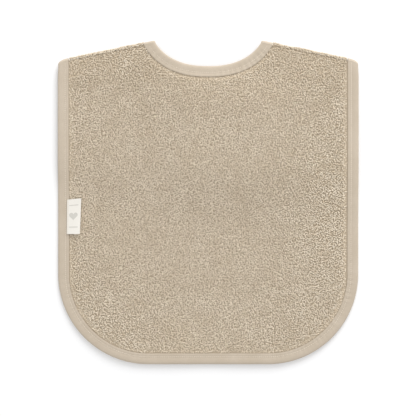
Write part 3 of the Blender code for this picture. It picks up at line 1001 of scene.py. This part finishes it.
def patch(name, node, mat, body, up, shape, pitch, height):
    """Woven base of a patch, and on its face the hooks or the loops; up is 1 or -1."""
    low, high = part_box(node)
    middle, size = (low + high) / 2, high - low
    seat = low.z if up > 0 else high.z
    bm = bmesh.new()
    bmesh.ops.create_cube(
        bm, size=1.0,
        matrix=Matrix.Translation((middle.x, middle.y, seat + up * PATCH_BASE / 2))
        @ Matrix.Diagonal((size.x, size.y, PATCH_BASE, 1)),
    )
    corners = [e for e in bm.edges if abs(e.verts[0].co.z - e.verts[1].co.z) > 1e-6]
    bmesh.ops.bevel(
        bm, geom=corners, offset=PATCH_BEVEL, segments=5, profile=0.5, affect="EDGES"
    )
    rims = [e for e in bm.edges if len(e.link_faces) == 2 and e.calc_face_angle() > 1.0]
    bmesh.ops.bevel(bm, geom=rims, offset=0.00007, segments=2, profile=0.5, affect="EDGES")
    base = keep(bm, name, mat, body, smooth=False)
    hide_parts(node)
    spots = []
    for i in range(int((size.x - 2 * PATCH_MARGIN) / pitch)):
        for j in range(int((size.y - 2 * PATCH_MARGIN) / pitch)):
            x = low.x + PATCH_MARGIN + (i + 0.5 + draw.uniform(-0.2, 0.2)) * pitch
            y = low.y + PATCH_MARGIN + (j + 0.5 + draw.uniform(-0.2, 0.2)) * pitch
            place = Vector((x, y, seat + up * PATCH_BASE))
            stand = Matrix.Rotation(0 if up > 0 else math.pi, 4, "X")
            spin = Matrix.Rotation(draw.uniform(-math.pi, math.pi), 4, "Z")
            spots.append((place, (stand @ spin).to_euler(), (height,) * 3, draw.gauss(0, 0.3)))
    tufts = plant(name + "_tufts", shape, spots, mat, body)
    reach = size.xy / 2 - Vector((PATCH_STITCH_INSET, PATCH_STITCH_INSET))
    ring = [
        Vector((middle.x + a * reach.x, middle.y + b * reach.y))
        for a, b in ((-1, -1), (1, -1), (1, 1), (-1, 1), (-1, -1))
    ]
    spots = stitch_spots(ring, lambda p: [seat + up * PATCH_BASE])
    sewn = plant(name + "_stitches", stitch, spots, thread_mat, body)
    return base, tufts


hook_mat = patch_material("hook_tape", (0.62, 0.55, 0.45), 0.5)
fuzz_mat = patch_material("loop_tape", (0.64, 0.57, 0.47), 0.9)
hook = shape_of("hook_shape", bent_yarn(3, BRISTLE_RADIUS, HOOK_REACH, HOOK_BEND))
hook_pieces = patch("hook_patch_tape", "hook_patch", hook_mat, "left_tab", 1, hook,
                    HOOK_PITCH, 1.0)
fuzz_pieces = patch("loop_patch_tape", "loop_patch", fuzz_mat, "right_strap", -1, loop,
                    FUZZ_PITCH, FUZZ_SIZE)

# ---------------------------------------------------------------- side label
# A woven satin ribbon folded double and sewn down along its two ends, over the inner edge of
# the tape. It carries a small plain heart between two woven lines.
RIBBON_WIDTH = 0.0133
LABEL_ACROSS = (0.0127, 0.0137)         # at its lower and at its upper edge
LABEL_UP = (0.0332, 0.0346)             # at its sewn and at its folded edge
LABEL_MIDDLE = 0.0338                   # its length, half way across
LABEL_LEAN = 0.0004
LABEL_PLY = 0.00022
PLY_GAP = 0.00006
MIDDLE_PUFF = 0.0001
LABEL_ROUND = 0.00042
LABEL_CURL = 0.0011
LABEL_SEAT = 0.0005
SEAM_AT = 0.08
MARK_AT = 0.47
MARK_RISE = 0.00009
MARK_DEPTH = 0.0003
HEART_SCALE = 0.0078 / 30               # metres to one unit of the heart's curve
HEART_DROP = 2.5
LINE_START = -0.0042
LINE_WIDTH = 0.0008
LINE_PLACE = 0.0105


def label_material(name, colour):
    """Satin weave: fine ribs across a ribbon with a soft shine."""
    mat, tree, shader = nodes_of(name, colour, 0.45, 0.15)
    where = add(tree, "ShaderNodeTexCoord")
    ribs = add(tree, "ShaderNodeTexWave", Scale=420.0, Distortion=0.3, bands_direction="Y")
    tree.links.new(where.outputs["Object"], ribs.inputs["Vector"])
    bump(tree, shader, ribs.outputs["Fac"], 0.00005, 0.35)
    return mat


def on_label(across, up, height):
    """A point of the label: across it 0 to 1, up it 0 to 1, and over its underside."""
    width = LABEL_ACROSS[0] + (LABEL_ACROSS[1] - LABEL_ACROSS[0]) * up
    x = label_low.x + LABEL_LEAN * up + across * width
    y = label_low.y + up * (LABEL_UP[0] + (LABEL_UP[1] - LABEL_UP[0]) * across)
    curl = LABEL_CURL * across ** 2 * (0.35 + 0.65 * (2 * up - 1) ** 2)
    return Vector((x, y, label_low.z - LABEL_SEAT + lift_of_front(x, y) + curl + height))


def ribbon_profile(inner):
    """The folded ribbon's side view: its two plies and the turn that joins them."""
    ply = LABEL_PLY if inner else 0.0
    turn_radius = LABEL_ROUND - ply
    points = [(0.0, ply)]
    for k in range(9):
        angle = -math.pi / 2 + math.pi * k / 8
        reach = 1.0 + (turn_radius * math.cos(angle) - LABEL_ROUND) / RIBBON_WIDTH
        points.append((reach, LABEL_ROUND + turn_radius * math.sin(angle)))
    points.append((0.5, 2 * LABEL_ROUND - ply + MIDDLE_PUFF))
    points.append((0.0, PLY_GAP + 2 * LABEL_PLY - ply))
    return points


bm = bmesh.new()
section = ribbon_profile(False) + ribbon_profile(True)[::-1]
face = bm.faces.new([bm.verts.new((0, 0, k)) for k in range(len(section))])
for step in range(25):
    if step:
        face = bmesh.ops.extrude_discrete_faces(bm, faces=[face])["faces"][0]
    for (across, height), vert in zip(section, face.verts):
        vert.co = on_label(across, step / 24, height)
bmesh.ops.holes_fill(bm, edges=[e for e in bm.edges if e.is_boundary])
face_out(bm)
label = keep(bm, "label_ribbon", label_material("label_satin", (0.80, 0.77, 0.71)), "label")
label.data.set_sharp_from_angle(angle=math.radians(50))
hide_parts("side_label")


def upper_ply(across):
    """Height of the label's face over its underside."""
    seam, middle = PLY_GAP + 2 * LABEL_PLY, 2 * LABEL_ROUND + MIDDLE_PUFF
    if across < 0.5:
        return seam + (middle - seam) * across / 0.5
    return middle - MIDDLE_PUFF * (across - 0.5) / 0.47


def label_mark(name, outline, mat):
    """A woven mark standing a hair above the upper ply; outline is in metres from its middle."""
    bm = bmesh.new()
    top = []
    for x, y in outline:
        across, up = MARK_AT + x / RIBBON_WIDTH, 0.5 + y / LABEL_MIDDLE
        top.append(bm.verts.new(on_label(across, up, upper_ply(across) + MARK_RISE)))
    bmesh.ops.extrude_face_region(bm, geom=[bm.faces.new(top)])
    bm.verts.ensure_lookup_table()
    for vert in bm.verts[len(top):]:
        vert.co.z -= MARK_DEPTH
    bmesh.ops.recalc_face_normals(bm, faces=bm.faces[:])
    mark = keep(bm, name, mat, "label", smooth=False)
    return mark


mark_mat = label_material("label_mark", (0.60, 0.58, 0.53))
heart = []
for k in range(40):
    a = 2 * math.pi * k / 40
    x = 16 * math.sin(a) ** 3
    y = 13 * math.cos(a) - 5 * math.cos(2 * a) - 2 * math.cos(3 * a) - math.cos(4 * a)
    heart.append((x * HEART_SCALE, (y + HEART_DROP) * HEART_SCALE))
on_label_pieces = [label_mark("label_heart", heart, mark_mat)]
for word, y in (("upper", LINE_PLACE), ("lower", -LINE_PLACE)):
    edge = [LINE_START + LINE_WIDTH * k for k in range(12)]
    bar = [(x, y) for x in edge] + [(x, y + LINE_WIDTH) for x in reversed(edge)]
    on_label_pieces.append(label_mark(f"label_{word}_line", bar, mark_mat))
seam = [on_label(SEAM_AT, up / 10, 0).xy for up in range(11)]
seam_z = on_label(SEAM_AT, 0.0, upper_ply(SEAM_AT)).z
spots = stitch_spots(seam, lambda p: [seam_z])
label_seam = plant("label_stitches", stitch, spots, thread_mat, "label")
on_label_pieces.append(label_seam)

# ---------------------------------------------------------------- table and light
# A plain white table under one broad soft light, low on the upper right, and an even fill.
LIGHT_PLACE = (0.62, 1.85, 0.86)
LIGHT_WIDTH = 1.6
LIGHT_POWER = 38.0
FILL = 0.86
TABLE_GAP = 0.0005
bm = bmesh.new()
bmesh.ops.create_grid(
    bm, x_segments=1, y_segments=1, size=3.0, matrix=Matrix.Translation((0, 0, -TABLE_GAP))
)
floor_mat, tree, shader = nodes_of("white_table", (0.95, 0.95, 0.955), 0.9)
keep(bm, "floor", floor_mat)

light_data = bpy.data.lights.new("key", "AREA")
light_data.shape = "DISK"
light_data.size = LIGHT_WIDTH
light_data.energy = LIGHT_POWER
light = bpy.data.objects.new("key", light_data)
light.location = LIGHT_PLACE
light.rotation_euler = (-light.location).to_track_quat("-Z", "Y").to_euler()
bpy.context.scene.collection.objects.link(light)
world = bpy.data.worlds.new("studio")
world.use_nodes = True
background = world.node_tree.nodes["Background"]
background.inputs["Color"].default_value = (1.0, 1.0, 1.0, 1)
background.inputs["Strength"].default_value = FILL
bpy.context.scene.world = world
bpy.context.scene.view_settings.view_transform = "Standard"
